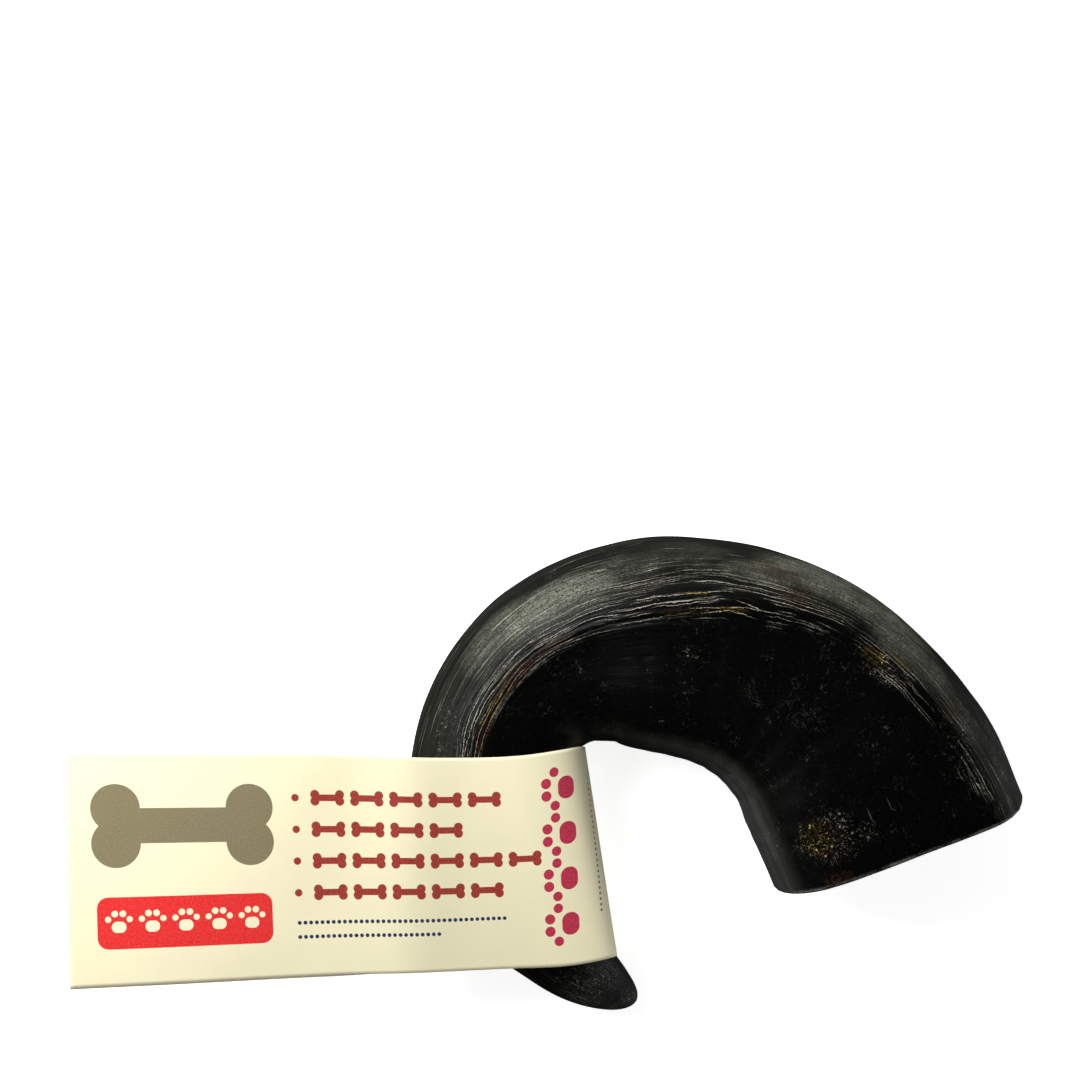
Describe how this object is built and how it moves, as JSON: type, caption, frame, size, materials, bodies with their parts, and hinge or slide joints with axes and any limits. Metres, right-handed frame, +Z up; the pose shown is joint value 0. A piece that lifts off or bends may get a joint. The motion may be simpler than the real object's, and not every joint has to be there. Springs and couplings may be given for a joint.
{
  "type": "horn dog chew",
  "caption": "Curved, blunt-tipped buffalo-horn chew with a sawn hollow base, lying on its side, with a plain-patterned paper strip wrapped round the arm near its tip.",
  "frame": {"origin": "middle of the underside of the whole part's box, on the surface that it lies on", "axes": "+Z up from that surface, across the flat of the bend; +X from the paper flag's free end towards the sawn base, along the longest side; +Y towards the outside of the bend"},
  "size_m": [0.2199, 0.1168, 0.0593],
  "materials": {
    "horn": "black horn keratin, satin, scuffed and scratched along its length",
    "paper": "smooth cream paper with a printed pattern"
  },
  "bodies": {
    "root": {"horn": "horn", "label": "paper"}
  },
  "joints": []
}
